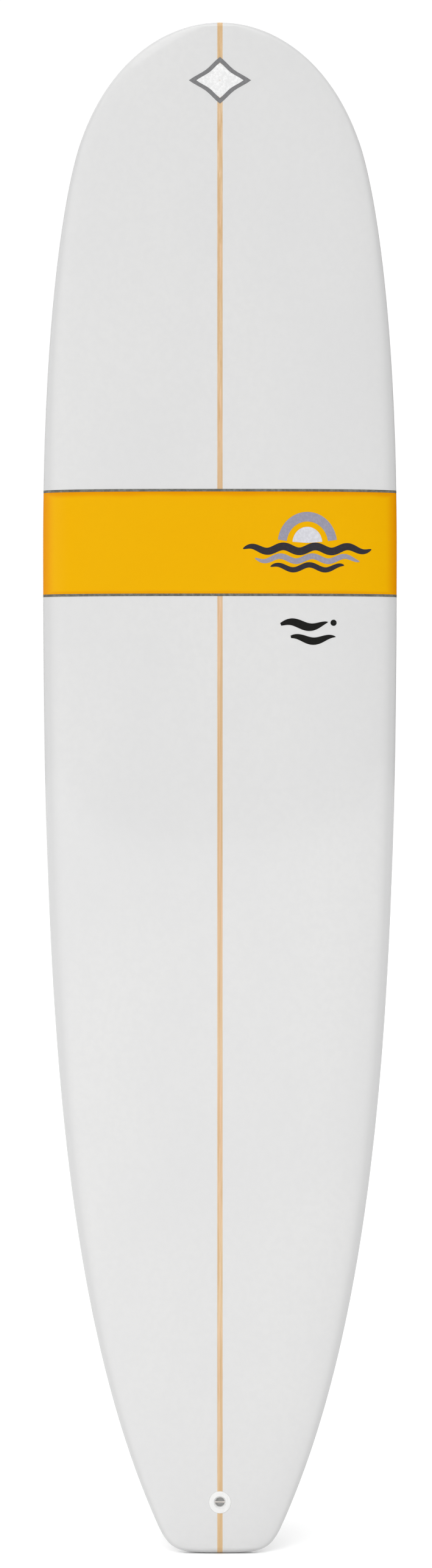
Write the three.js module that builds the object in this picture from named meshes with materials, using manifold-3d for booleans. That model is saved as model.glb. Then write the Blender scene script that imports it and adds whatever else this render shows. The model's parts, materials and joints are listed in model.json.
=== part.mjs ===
// A longboard surfboard with a foam core, a wooden stringer, a leash plug and a 2+1 set of fins.
// It stands on its tail: +Z runs to the nose, the deck faces -Y, and the bottom and its fins face +Y.
// The origin is the middle of the tail's end. Lengths are in millimetres.
import * as THREE from "three";
import { mergeVertices } from "three/addons/utils/BufferGeometryUtils.js";
import Module from "manifold-3d";

const wasm = await Module();
wasm.setup();

// --- Driving dimensions -------------------------------------------------------------------------

const LENGTH = 2563;
const HALF_WIDTH = 298.9;
const WIDE_POINT = 1679; // height of the widest place
const THICKNESS = 79;
const THICK_POINT = 1400;
const NOSE_TIP_THICKNESS = 16;
const TAIL_TIP_THICKNESS = 22;
const NOSE_THINNING = 2.35; // powers of the thickness curves
const TAIL_THINNING = 3;
const NOSE_ROCKER = 115;
const TAIL_ROCKER = 75;
const FLAT_POINT = 1200; // where the bottom is parallel to Z
const NOSE_ROCKER_POWER = 2.6;
const TAIL_ROCKER_POWER = 2.4;
const RAIL_LEVEL = 0.42; // the rail's edge, as a share of the thickness, from the bottom
const DECK_POWER = 3; // superellipse powers: the deck is crowned and the bottom is nearly flat
const BOTTOM_POWER = 6;
const SKIN = 1.2; // thickness of the glass laminate
const GAP = 0.3; // clearance between pieces that touch
const STRINGER_WIDTH = 9;
const LAP = 0.9; // the bottom laminate's half width, as a share of the board's
const BAND_REAR = 1611.1;
const BAND_FRONT = 1782.5;
const PINLINE = 3.6;

// Half of the plan outline, tail to nose, as cubic curves of [half width, height] points.
const TAIL_CORNER = [105.5, 48.5];
const NOSE_SHOULDER = [235.4, 2362.4];
const OUTLINE = [
  [[0, 0], [70, 0], [84, 1], TAIL_CORNER],
  [TAIL_CORNER, [278, 424.6], [HALF_WIDTH, 1003], [HALF_WIDTH, WIDE_POINT]],
  [[HALF_WIDTH, WIDE_POINT], [HALF_WIDTH, 2080.7], [259.5, 2291.5], NOSE_SHOULDER],
  [NOSE_SHOULDER, [188.7, 2499.4], [91.9, LENGTH], [0, LENGTH]],
].map(cubic);

const CURVE_STEPS = [5, 8, 5, 7]; // sections along each outline curve
const QUARTER_STEPS = 6; // steps from the centre line to a rail
const END_INSET = 0.4; // how far the first and last section lie inside the ends
const REACH = 5; // how far a cutting tool reaches past a face
const BEYOND = 400; // past the board's surface from its centre line, for tools that cut right through

const LEASH = {
  height: 86, flangeRadius: 18.5, flangeThickness: 2, bodyRadius: 15, depth: 21,
  pocketRadius: 10.5, pocketDepth: 15, proud: 0.25, bevel: 0.5, barRadius: 1.75, barLength: 24.4, barDepth: 5,
};
const BOX = {
  height: 263, length: 267, width: 25.4, depth: 25, proud: 0.2, slotLength: 245, slotWidth: 10,
  slotDepth: 21, grooveWidth: 15.6, grooveTop: 8, grooveBottom: 12.8, notchLength: 12,
};
const FIN = {
  depth: 180, rear: -95, front: 73, thickness: 9.2, tipThickness: 3.4, baseDepth: 19,
  tongueFront: 95, tongueTop: 3.3, tongueBottom: 7.3, pinRadius: 2.1, pinLength: 15, pinInset: 12,
};
const SCREW = {
  inset: 11, headRadius: 4, headTop: 0.5, headBottom: 3, bevel: 0.6, radius: 2, tip: 14, holeRadius: 2.3,
  slotWidth: 1, slotDepth: 1.2,
};
// A blade's mesh, its greatest thickness as a share of its chord, and how far forward it is fullest.
const FOIL = { rows: 9, sides: 16, fullest: 0.4, forward: 0.25 };
const PLATE = { width: 14.8, length: 14, thickness: 2.5 };
const SIDE = {
  height: 375, across: 160, toeIn: 3, lift: 0.5, depth: 90, half: 49, thickness: 6.2, tipThickness: 2.2,
  tabSpacing: 52, tabLength: 15, tabWidth: 6, tabDepth: 13,
};
const PLUG = { radius: 13.5, depth: 16.5, proud: 0.25, slotLength: 15.8, slotWidth: 6.8, slotDepth: 14.5 };
const GRUB = {
  radius: 2, length: 6.8, sunk: 0.6, tilt: 25, across: 8.3, holeRadius: 2.3, holeLength: 11,
  socketRadius: 1.1, socketDepth: 2,
};

// --- Materials ----------------------------------------------------------------------------------

function material(colour, roughness, metalness = 0) {
  return new THREE.MeshStandardMaterial({ color: colour, roughness, metalness });
}

const WHITE_GLASS = material(0xe4e4e2, 0.12);
const YELLOW_GLASS = material(0xeeb306, 0.12);
const DARK_RESIN = material(0x3a3a38, 0.2);
const FOAM = material(0xf3f1ea, 0.9);
const WOOD = material(0xd6ba93, 0.45);
const WHITE_PLASTIC = material(0xe9e9e7, 0.35);
const FIN_PLASTIC = material(0x24282b, 0.25);
const STEEL = material(0xb9bcbe, 0.25, 1);
const BRASS = material(0xc39a4c, 0.3, 1);

// --- Solids and joins ---------------------------------------------------------------------------

function cubic(points) {
  return new THREE.CubicBezierCurve(...points.map((p) => new THREE.Vector2(...p)));
}

// The x of the curve where its y is the level given; y only rises along it.
function acrossAt(curve, level) {
  let low = 0;
  let high = 1;
  for (let i = 0; i < 40; i++) {
    const middle = (low + high) / 2;
    if (curve.getPoint(middle).y < level) low = middle;
    else high = middle;
  }
  return curve.getPoint(low).x;
}

function acrossAny(curves, level) {
  return acrossAt(curves.find((c) => level <= c.v3.y) ?? curves.at(-1), level);
}

// A closed geometry through loops of equally many points, each anticlockwise seen from its far end.
function loft(loops) {
  const count = loops[0].length;
  const last = (loops.length - 1) * count;
  const triangles = [];
  for (let k = 0; k < last; k += count) {
    for (let i = 0; i < count; i++) {
      const a = k + i;
      const b = k + ((i + 1) % count);
      triangles.push(a, b, b + count, a, b + count, a + count);
    }
  }
  for (let i = 1; i < count - 1; i++) {
    triangles.push(0, i + 1, i, last, last + i, last + i + 1);
  }
  const geometry = new THREE.BufferGeometry();
  geometry.setAttribute("position", new THREE.Float32BufferAttribute(loops.flat().flatMap((p) => [...p]), 3));
  return geometry.setIndex(triangles);
}

function solidOf(geometry, matrix = new THREE.Matrix4()) {
  const bare = geometry.clone().applyMatrix4(matrix);
  bare.deleteAttribute("normal");
  bare.deleteAttribute("uv");
  const merged = mergeVertices(bare, 1e-3);
  return new wasm.Manifold(new wasm.Mesh({
    numProp: 3,
    vertProperties: merged.attributes.position.array,
    triVerts: new Uint32Array(merged.index.array),
  }));
}

function geometryOf(solid) {
  const made = solid.getMesh();
  const geometry = new THREE.BufferGeometry();
  geometry.setAttribute("position", new THREE.BufferAttribute(made.vertProperties, 3));
  geometry.setIndex(new THREE.BufferAttribute(made.triVerts, 1));
  geometry.computeVertexNormals();
  return geometry;
}

function carve(solid, ...tools) {
  return tools.reduce((left, tool) => left.subtract(tool), solid);
}

function node(name, geometry, look) {
  const mesh = new THREE.Mesh(geometry, look);
  mesh.name = name;
  return mesh;
}

// A box between two corners, given as [low, high] on each axis.
function block([x0, x1], [y0, y1], [z0, z1]) {
  const geometry = new THREE.BoxGeometry(x1 - x0, y1 - y0, z1 - z0);
  return geometry.translate((x0 + x1) / 2, (y0 + y1) / 2, (z0 + z1) / 2);
}

// A round bar along Y between two levels.
function disc(radius, y0, y1, sides = 24) {
  return new THREE.CylinderGeometry(radius, radius, y1 - y0, sides).translate(0, (y0 + y1) / 2, 0);
}

// A round bar along X, centred on the origin.
function crossBar(radius, length, sides = 12) {
  return new THREE.CylinderGeometry(radius, radius, length, sides).rotateZ(Math.PI / 2);
}

// --- The board's shape --------------------------------------------------------------------------

function halfWidth(z) {
  return acrossAny(OUTLINE, z);
}

function bottomLine(z) {
  const lowest = TAIL_ROCKER + RAIL_LEVEL * TAIL_TIP_THICKNESS;
  if (z > FLAT_POINT) {
    return lowest - NOSE_ROCKER * ((z - FLAT_POINT) / (LENGTH - FLAT_POINT)) ** NOSE_ROCKER_POWER;
  }
  return lowest - TAIL_ROCKER * ((FLAT_POINT - z) / FLAT_POINT) ** TAIL_ROCKER_POWER;
}

function thicknessAt(z) {
  const nose = z > THICK_POINT;
  const tip = nose ? NOSE_TIP_THICKNESS : TAIL_TIP_THICKNESS;
  const share = nose ? (z - THICK_POINT) / (LENGTH - THICK_POINT) : (THICK_POINT - z) / THICK_POINT;
  return tip + (THICKNESS - tip) * (1 - share ** (nose ? NOSE_THINNING : TAIL_THINNING));
}

function railLine(z) {
  return bottomLine(z) - RAIL_LEVEL * thicknessAt(z);
}

// The ends are rounded from deck to bottom: 0 at the very end, 1 from half a tip's thickness in.
function endRounding(z) {
  const radius = (z > THICK_POINT ? NOSE_TIP_THICKNESS : TAIL_TIP_THICKNESS) / 2;
  const depth = Math.min(z, LENGTH - z, radius);
  return Math.sqrt(1 - (1 - depth / radius) ** 2);
}

// The surface's y at a share of the half width: side 1 is the bottom and -1 the deck.
function surfaceLevel(side, share, z, inset = 0) {
  const depth = (side > 0 ? RAIL_LEVEL : 1 - RAIL_LEVEL) * thicknessAt(z) * endRounding(z) - inset;
  const power = side > 0 ? BOTTOM_POWER : DECK_POWER;
  return railLine(z) + side * depth * Math.sqrt(1 - Math.min(1, Math.abs(share)) ** power);
}

// One section of the board, its surface moved inwards by the inset.
function section(z, inset) {
  const shift = z > WIDE_POINT ? 2 * inset : -2 * inset; // so the round ends are inset along Z too
  const half = halfWidth(z + shift) - inset;
  const points = [];
  for (const side of [1, -1]) {
    for (let i = 0; i < 2 * QUARTER_STEPS; i++) {
      const share = side * Math.cos((i * Math.PI) / (2 * QUARTER_STEPS));
      points.push(new THREE.Vector3(half * share, surfaceLevel(side, share, z, inset), z));
    }
  }
  return points;
}

// Heights of the sections: the outline curves' own steps, which are closest at the two ends.
function stationHeights(inset) {
  const margin = END_INSET + 3 * Math.max(inset, 0);
  const steps = OUTLINE.flatMap((curve, k) => curve.getPoints(CURVE_STEPS[k]).slice(1));
  const levels = steps.map((point) => point.y).filter((y) => y > 1 && y < LENGTH - 1);
  return [0, ...levels, LENGTH].map((y) => margin + (y * (LENGTH - 2 * margin)) / LENGTH);
}

function boardSolid(inset, matrix) {
  return solidOf(loft(stationHeights(inset).map((z) => section(z, inset))), matrix);
}

// The region that holds the bottom laminate: below the rail line and inside the lap line.
function bottomRegion(growth) {
  const heights = stationHeights(0);
  const loops = heights.map((z, k) => {
    const half = LAP * halfWidth(z) + growth;
    const near = railLine(z) - growth;
    const past = k === 0 ? -REACH : k === heights.length - 1 ? REACH : 0;
    return [[half, near], [half, near + BEYOND], [-half, near + BEYOND], [-half, near]].map(
      ([x, y]) => new THREE.Vector3(x, y, z + past),
    );
  });
  return solidOf(loft(loops));
}

// A group on the surface at x and z: its +Y points out of the board, and its +Z towards the nose.
function groupOn(side, x, z, toe = 0) {
  const level = (px, pz) => surfaceLevel(side, px / halfWidth(pz), pz);
  const slopeX = (level(x + 1, z) - level(x - 1, z)) / 2;
  const slopeZ = (level(x, z + 1) - level(x, z - 1)) / 2;
  const out = new THREE.Vector3(-slopeX, 1, -slopeZ).normalize().multiplyScalar(side);
  const along = new THREE.Vector3(Math.sin(toe), 0, Math.cos(toe));
  along.addScaledVector(out, -along.dot(out)).normalize();
  const turn = new THREE.Matrix4().makeBasis(new THREE.Vector3().crossVectors(out, along), out, along);
  const group = new THREE.Group();
  group.position.set(x, level(x, z), z);
  group.quaternion.setFromRotationMatrix(turn);
  group.updateMatrixWorld(true);
  return group;
}

// --- Leash plug ---------------------------------------------------------------------------------

function leashCup() {
  const { flangeRadius, flangeThickness, bodyRadius, depth, pocketRadius, pocketDepth, proud, bevel } = LEASH;
  const profile = [
    [0, -depth], [bodyRadius, -depth], [bodyRadius, -flangeThickness], [flangeRadius, -flangeThickness],
    [flangeRadius, proud - bevel], [flangeRadius - bevel, proud], [pocketRadius, proud],
    [pocketRadius, -pocketDepth], [0, -pocketDepth],
  ].map(([r, y]) => new THREE.Vector2(r, y));
  const cup = solidOf(new THREE.LatheGeometry(profile, 28));
  const hole = crossBar(LEASH.barRadius + GAP, LEASH.barLength + 2 * GAP).translate(0, -LEASH.barDepth, 0);
  return geometryOf(carve(cup, solidOf(hole)));
}

function leashPocket(matrix) {
  const flange = disc(LEASH.flangeRadius + GAP, -LEASH.flangeThickness - GAP, REACH);
  const body = disc(LEASH.bodyRadius + GAP, -LEASH.depth - GAP, 0);
  return solidOf(flange, matrix).add(solidOf(body, matrix));
}

// --- Centre fin, its box and its fixings --------------------------------------------------------

// A stadium along Z, extruded along Y between two levels.
function stadium(length, width, y0, y1) {
  const shape = new THREE.Shape();
  const straight = (length - width) / 2;
  shape.absarc(straight, 0, width / 2, -Math.PI / 2, Math.PI / 2);
  shape.absarc(-straight, 0, width / 2, Math.PI / 2, (3 * Math.PI) / 2);
  const options = { depth: y1 - y0, bevelEnabled: false, curveSegments: 6 };
  const geometry = new THREE.ExtrudeGeometry(shape, options);
  // the shape's x becomes Z, its y becomes X and the depth becomes Y
  const turn = new THREE.Matrix4().makeBasis(
    new THREE.Vector3(0, 0, 1), new THREE.Vector3(1, 0, 0), new THREE.Vector3(0, 1, 0),
  );
  return geometry.applyMatrix4(turn).translate(0, y0, 0);
}

// The box's face follows the bottom's curve, a little proud of it.
function finBox(place) {
  const slot = stadium(BOX.slotLength, BOX.slotWidth, -BOX.slotDepth, REACH);
  const groove = stadium(BOX.slotLength, BOX.grooveWidth, -BOX.grooveBottom, -BOX.grooveTop);
  const notch = block(
    [-BOX.grooveWidth / 2, BOX.grooveWidth / 2], [-BOX.grooveTop - 1, REACH],
    [-BOX.notchLength / 2, BOX.notchLength / 2],
  );
  const grownBoard = boardSolid(-BOX.proud, place.matrixWorld.clone().invert());
  const body = solidOf(stadium(BOX.length, BOX.width, -BOX.depth, REACH)).intersect(grownBoard);
  return geometryOf(carve(body, solidOf(slot), solidOf(groove), solidOf(notch)));
}

// A fin's blade, root to tip along Y: curves give its edges as [z, y] points.
function blade(leading, trailing, { depth, root, thickness, tipThickness, flatInside }) {
  const foil = (y) => {
    const front = acrossAny(leading, y);
    const rear = acrossAny(trailing, y);
    const full = thickness + (tipThickness - thickness) * (y / depth);
    const half = Math.min(full, FOIL.fullest * (front - rear)) / 2;
    return Array.from({ length: FOIL.sides }, (_, i) => {
      const angle = ((i + 0.5) * 2 * Math.PI) / FOIL.sides;
      const bulge = Math.sin(angle) * (1 + FOIL.forward * Math.cos(angle));
      const x = flatInside ? 2 * half * Math.max(0, bulge) - thickness / 2 : half * bulge;
      const z = (front + rear) / 2 + ((front - rear) / 2) * Math.cos(angle);
      return new THREE.Vector3(x, Math.max(y, root), z);
    });
  };
  const levels = Array.from({ length: FOIL.rows + 1 }, (_, k) => Math.sin((k * Math.PI) / (2 * FOIL.rows)));
  return solidOf(loft(levels.map((level) => foil(Math.max(level * (depth - END_INSET), root / 10)))));
}

function centreFin() {
  const { depth, rear, front, thickness, tipThickness, baseDepth } = FIN;
  const leading = [cubic([[front, 0], [48, 78], [6, depth], [-112, depth]])];
  const trailing = [
    cubic([[rear, 0], [-78, 52], [-84, 122], [-124, 166]]),
    cubic([[-124, 166], [-130, 174], [-124, depth], [-112, depth]]),
  ];
  const half = thickness / 2;
  const foil = blade(leading, trailing, { depth, root: 0.2, thickness, tipThickness, flatInside: false });
  const base = solidOf(block([-half, half], [-baseDepth, 0.6], [rear, front]));
  const tongue = solidOf(block(
    [-half, half], [-FIN.tongueBottom, -FIN.tongueTop], [front - 1, FIN.tongueFront],
  ));
  const pinHole = crossBar(FIN.pinRadius + GAP, 2 * thickness).translate(0, -pinDepth(), rear + FIN.pinInset);
  const screwHole = disc(SCREW.holeRadius, -2 * SCREW.tip, REACH, 20);
  screwHole.translate(0, 0, FIN.tongueFront - SCREW.inset);
  return geometryOf(carve(foil.add(base).add(tongue), solidOf(pinHole), solidOf(screwHole)));
}

function pinDepth() {
  return (BOX.grooveTop + BOX.grooveBottom) / 2;
}

// A slotted screw along Y: its head is sunk below the fin box's face.
function finScrew() {
  const { radius, headRadius, headTop, headBottom, bevel, tip, slotWidth, slotDepth } = SCREW;
  const profile = [
    [0, -tip], [radius - bevel, -tip], [radius, -tip + bevel], [radius, -headBottom],
    [headRadius, -headBottom], [headRadius, -headTop - bevel], [headRadius - bevel, -headTop], [0, -headTop],
  ].map(([r, y]) => new THREE.Vector2(r, y));
  const slot = block([-REACH, REACH], [-headTop - slotDepth, REACH], [-slotWidth / 2, slotWidth / 2]);
  return geometryOf(carve(solidOf(new THREE.LatheGeometry(profile, 20)), solidOf(slot)));
}

function plateNut() {
  const top = -BOX.grooveTop - GAP;
  const { width, length, thickness } = PLATE;
  const plate = block([-width / 2, width / 2], [top - thickness, top], [-length / 2, length / 2]);
  return geometryOf(carve(solidOf(plate), solidOf(disc(SCREW.holeRadius, -2 * SCREW.tip, REACH, 20))));
}

// --- Side fins, their plugs and grub screws -----------------------------------------------------

function sideFin(inboard) {
  const { half, depth, thickness, tipThickness, lift } = SIDE;
  const leading = [cubic([[half, 0], [36, 36], [10, depth], [-56, depth]])];
  const trailing = [
    cubic([[-half, 0], [-40, 26], [-46, 62], [-66, 82]]),
    cubic([[-66, 82], [-70, 86], [-66, depth], [-56, depth]]),
  ];
  let fin = blade(leading, trailing, { depth, root: lift, thickness, tipThickness, flatInside: true });
  for (const z of [-SIDE.tabSpacing / 2, SIDE.tabSpacing / 2]) {
    const tab = block(
      [-SIDE.tabWidth / 2, SIDE.tabWidth / 2], [-SIDE.tabDepth, lift + 1],
      [z - SIDE.tabLength / 2, z + SIDE.tabLength / 2],
    );
    fin = fin.add(solidOf(tab));
  }
  // the blade's flat face is turned to the board's centre line
  return geometryOf(inboard > 0 ? fin.mirror([1, 0, 0]) : fin);
}

// The place of a grub screw in its plug: it leans in towards the fin's tab.
function grubMatrix(inboard) {
  const turn = new THREE.Matrix4().makeRotationZ(-inboard * THREE.MathUtils.degToRad(GRUB.tilt));
  return turn.setPosition(inboard * GRUB.across, 0, 0);
}

function finPlug(inboard) {
  const slot = block(
    [-PLUG.slotWidth / 2, PLUG.slotWidth / 2], [-PLUG.slotDepth, REACH],
    [-PLUG.slotLength / 2, PLUG.slotLength / 2],
  );
  const hole = solidOf(disc(GRUB.holeRadius, -GRUB.holeLength, REACH, 20), grubMatrix(inboard));
  return geometryOf(carve(solidOf(disc(PLUG.radius, -PLUG.depth, PLUG.proud)), solidOf(slot), hole));
}

function grubScrew() {
  const body = disc(GRUB.radius, -GRUB.sunk - GRUB.length, -GRUB.sunk, 12);
  const socket = disc(GRUB.socketRadius, -GRUB.sunk - GRUB.socketDepth, REACH, 6);
  return geometryOf(carve(solidOf(body), solidOf(socket)));
}

// --- Assembly -----------------------------------------------------------------------------------

const longboard = new THREE.Group();
const leashPlace = groupOn(-1, 0, LEASH.height);
const boxPlace = groupOn(1, 0, BOX.height);
const finPlace = new THREE.Group();
boxPlace.add(finPlace);

// left is -X and right is +X, seen from the deck
const sides = [["left", -1], ["right", 1]].map(([label, sign]) => {
  const toe = -sign * THREE.MathUtils.degToRad(SIDE.toeIn);
  return { label, inboard: -sign, place: groupOn(1, sign * SIDE.across, SIDE.height, toe) };
});
const plugs = sides.flatMap(({ label, inboard, place }) =>
  [["front", 1], ["rear", -1]].map(([end, sign]) => {
    const plugPlace = new THREE.Group();
    plugPlace.position.z = (sign * SIDE.tabSpacing) / 2;
    place.add(plugPlace);
    place.updateMatrixWorld(true);
    return { name: label + "_" + end, inboard, plugPlace };
  }),
);

function addLaminates(pockets) {
  const shell = boardSolid(0).subtract(boardSolid(SKIN));
  const bottom = shell.intersect(bottomRegion(0));
  const deck = carve(shell.subtract(bottomRegion(GAP)), pockets.leash);
  longboard.add(node("bottom_skin", geometryOf(carve(bottom, pockets.box, ...pockets.plugs)), WHITE_GLASS));
  const seams = [
    ["deck_skin_tail", -BEYOND, BAND_REAR - 2 * GAP - PINLINE, WHITE_GLASS],
    ["pinline_rear", BAND_REAR - GAP - PINLINE, BAND_REAR - GAP, DARK_RESIN],
    ["deck_band", BAND_REAR, BAND_FRONT, YELLOW_GLASS],
    ["pinline_front", BAND_FRONT + GAP, BAND_FRONT + GAP + PINLINE, DARK_RESIN],
    ["deck_skin_nose", BAND_FRONT + 2 * GAP + PINLINE, LENGTH + BEYOND, WHITE_GLASS],
  ];
  for (const [name, low, high, look] of seams) {
    const slab = solidOf(block([-BEYOND, BEYOND], [-BEYOND, BEYOND], [low, high]));
    longboard.add(node(name, geometryOf(deck.intersect(slab)), look));
  }
}

function addCore(pockets) {
  const core = carve(boardSolid(SKIN + GAP), pockets.leash, pockets.box, ...pockets.plugs);
  const half = STRINGER_WIDTH / 2;
  const slab = (x0, x1) => solidOf(block([x0, x1], [-BEYOND, BEYOND], [-BEYOND, LENGTH + BEYOND]));
  longboard.add(
    node("stringer", geometryOf(core.intersect(slab(-half, half))), WOOD),
    node("foam_left", geometryOf(core.intersect(slab(-BEYOND, -half - GAP))), FOAM),
    node("foam_right", geometryOf(core.intersect(slab(half + GAP, BEYOND))), FOAM),
  );
}

function addLeashPlug() {
  const bar = node("leash_bar", crossBar(LEASH.barRadius, LEASH.barLength), STEEL);
  bar.position.y = -LEASH.barDepth;
  leashPlace.add(node("leash_cup", leashCup(), WHITE_PLASTIC), bar);
  longboard.add(leashPlace);
}

function addCentreFin() {
  const pin = node("centre_fin_pin", crossBar(FIN.pinRadius, FIN.pinLength), BRASS);
  pin.position.set(0, -pinDepth(), FIN.rear + FIN.pinInset);
  const screw = node("centre_fin_screw", finScrew(), STEEL);
  const plate = node("centre_fin_plate", plateNut(), STEEL);
  for (const piece of [screw, plate]) piece.position.z = FIN.tongueFront - SCREW.inset;
  finPlace.add(node("centre_fin", centreFin(), FIN_PLASTIC), pin, screw, plate);
  boxPlace.add(node("centre_fin_box", finBox(boxPlace), WHITE_PLASTIC));
  longboard.add(boxPlace);
}

function addSideFins() {
  for (const { label, inboard, place } of sides) {
    place.add(node("side_fin_" + label, sideFin(inboard), FIN_PLASTIC));
    longboard.add(place);
  }
  for (const { name, inboard, plugPlace } of plugs) {
    const grub = node(name + "_grub_screw", grubScrew(), STEEL);
    grub.applyMatrix4(grubMatrix(inboard));
    plugPlace.add(node(name + "_plug", finPlug(inboard), WHITE_PLASTIC), grub);
  }
}

const pockets = {
  leash: leashPocket(leashPlace.matrixWorld),
  box: solidOf(
    stadium(BOX.length + 2 * GAP, BOX.width + 2 * GAP, -BOX.depth - GAP, 2 * REACH), boxPlace.matrixWorld,
  ),
  plugs: plugs.map(({ plugPlace }) =>
    solidOf(disc(PLUG.radius + GAP, -PLUG.depth - GAP, REACH), plugPlace.matrixWorld)),
};
addLaminates(pockets);
addCore(pockets);
addLeashPlug();
addCentreFin();
addSideFins();

export default longboard;
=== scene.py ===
"""The looks of a longboard surfboard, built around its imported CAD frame.

It stands on its tail: +Z runs to the nose, the deck faces -Y, the bottom and its fins face +Y, and
the origin is the middle of the tail's end. Lengths are in metres.
"""

import json
import math

import bmesh
import bpy
import numpy as np
from mathutils import Matrix, Vector


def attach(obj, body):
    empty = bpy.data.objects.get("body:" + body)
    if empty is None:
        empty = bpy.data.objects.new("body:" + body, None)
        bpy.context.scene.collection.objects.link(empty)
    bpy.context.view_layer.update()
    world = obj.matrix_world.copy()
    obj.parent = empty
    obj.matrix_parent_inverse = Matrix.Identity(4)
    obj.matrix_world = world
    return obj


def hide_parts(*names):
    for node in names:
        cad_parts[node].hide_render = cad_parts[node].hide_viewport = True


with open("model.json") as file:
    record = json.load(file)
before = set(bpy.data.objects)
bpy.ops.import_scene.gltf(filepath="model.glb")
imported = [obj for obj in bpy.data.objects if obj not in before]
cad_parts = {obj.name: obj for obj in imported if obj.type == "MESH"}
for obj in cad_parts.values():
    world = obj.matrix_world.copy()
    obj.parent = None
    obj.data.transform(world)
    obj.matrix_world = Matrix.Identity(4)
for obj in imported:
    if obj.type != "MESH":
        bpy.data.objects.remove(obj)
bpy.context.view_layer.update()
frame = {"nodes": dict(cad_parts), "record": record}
SCENE = bpy.context.scene

# --- The board's driving dimensions, as in the CAD -----------------------------------------------

LENGTH = 2.563
HALF_WIDTH = 0.2989
WIDE_POINT = 1.679
THICKNESS = 0.079
THICK_POINT = 1.400
NOSE_TIP_THICKNESS = 0.016
TAIL_TIP_THICKNESS = 0.022
NOSE_THINNING = 2.35
TAIL_THINNING = 3
NOSE_ROCKER = 0.115
TAIL_ROCKER = 0.075
FLAT_POINT = 1.200
NOSE_ROCKER_POWER = 2.6
TAIL_ROCKER_POWER = 2.4
RAIL_LEVEL = 0.42
DECK_POWER = 3
BOTTOM_POWER = 6
SKIN = 0.0012
STRINGER_HALF = 0.0045
LAP = 0.9
BAND_REAR = 1.6111
BAND_FRONT = 1.7825
PINLINE = 0.0042
PINLINE_PROUD = 0.00012
SEAM = 0.00008  # visible gap between pieces that meet flush
CORE_DEPTH = 0.012  # how far in from the rails and ends the laminate's inside is aimed at

TAIL_CORNER = (0.1055, 0.0485)
NOSE_SHOULDER = (0.2354, 2.3624)
OUTLINE = [
    [(0, 0), (0.070, 0), (0.084, 0.001), TAIL_CORNER],
    [TAIL_CORNER, (0.278, 0.4246), (HALF_WIDTH, 1.003), (HALF_WIDTH, WIDE_POINT)],
    [(HALF_WIDTH, WIDE_POINT), (HALF_WIDTH, 2.0807), (0.2595, 2.2915), NOSE_SHOULDER],
    [NOSE_SHOULDER, (0.1887, 2.4994), (0.0919, LENGTH), (0, LENGTH)],
]
OUTLINE_ROWS = (60, 70, 44, 90)  # rows of the fine mesh along each curve

BOARD, DECK, BOTTOM = "board", -1, 1


def bezier(points, steps):
    """Points along a cubic curve."""
    t = np.linspace(0, 1, steps + 1)[:, None]
    a, b, c, d = (np.array(p, float) for p in points)
    return a * (1 - t) ** 3 + 3 * b * t * (1 - t) ** 2 + 3 * c * t**2 * (1 - t) + d * t**3


CURVE_STEPS = 600
OUTLINE_POINTS = np.concatenate([bezier(curve, CURVE_STEPS) for curve in OUTLINE])
ROWS = np.unique(np.concatenate([bezier(curve, n)[:, 1] for curve, n in zip(OUTLINE, OUTLINE_ROWS)]))
END_HALF = 0.0047  # half width of the first and last rows, just over the stringer's
TAIL_END, NOSE_END = OUTLINE_POINTS[:CURVE_STEPS], OUTLINE_POINTS[:-CURVE_STEPS:-1]
FIRST_ROW = float(np.interp(END_HALF, TAIL_END[:, 0], TAIL_END[:, 1]))
LAST_ROW = float(np.interp(END_HALF, NOSE_END[:, 0], NOSE_END[:, 1]))


def half_width(z):
    return np.interp(z, OUTLINE_POINTS[:, 1], OUTLINE_POINTS[:, 0])


def bottom_line(z):
    """The y of the bottom's centre line, which bends towards the deck at both ends."""
    z = np.asarray(z, float)
    lowest = TAIL_ROCKER + RAIL_LEVEL * TAIL_TIP_THICKNESS
    to_nose = np.clip((z - FLAT_POINT) / (LENGTH - FLAT_POINT), 0, 1)
    to_tail = np.clip((FLAT_POINT - z) / FLAT_POINT, 0, 1)
    return lowest - NOSE_ROCKER * to_nose**NOSE_ROCKER_POWER - TAIL_ROCKER * to_tail**TAIL_ROCKER_POWER


def thickness_at(z):
    z = np.asarray(z, float)
    to_nose = np.clip((z - THICK_POINT) / (LENGTH - THICK_POINT), 0, 1)
    to_tail = np.clip((THICK_POINT - z) / THICK_POINT, 0, 1)
    thinned = np.where(
        z > THICK_POINT,
        (THICKNESS - NOSE_TIP_THICKNESS) * to_nose**NOSE_THINNING,
        (THICKNESS - TAIL_TIP_THICKNESS) * to_tail**TAIL_THINNING,
    )
    return THICKNESS - thinned


def rail_line(z):
    """The y at which the deck and the bottom meet."""
    return bottom_line(z) - RAIL_LEVEL * thickness_at(z)


def end_rounding(z):
    """0 at the very end of the board, and 1 from half a tip's thickness in."""
    z = np.asarray(z, float)
    radius = np.where(z > THICK_POINT, NOSE_TIP_THICKNESS, TAIL_TIP_THICKNESS) / 2
    depth = np.clip(np.minimum(z, LENGTH - z), 0, radius)
    return np.sqrt(1 - (1 - depth / radius) ** 2)


def surface_level(side, share, z, inset=0.0):
    """The surface's y at a share of the half width."""
    side = np.asarray(side)
    reach = np.where(side > 0, RAIL_LEVEL, 1 - RAIL_LEVEL) * thickness_at(z) * end_rounding(z)
    power = np.where(side > 0, BOTTOM_POWER, DECK_POWER)
    share = np.clip(np.abs(share), 0, 1)
    return rail_line(z) + side * np.maximum(reach - inset, 0) * np.sqrt(1 - share**power)


def surface(turn, z):
    """Points round the board: turn 0 is the right rail, a quarter turn is the deck's centre line."""
    turn, z = np.broadcast_arrays(turn, z)
    share = np.cos(turn)
    side = np.where(np.sin(turn) > 0, DECK, BOTTOM)
    return np.stack([half_width(z) * share, surface_level(side, share, z), z], axis=-1)


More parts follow.
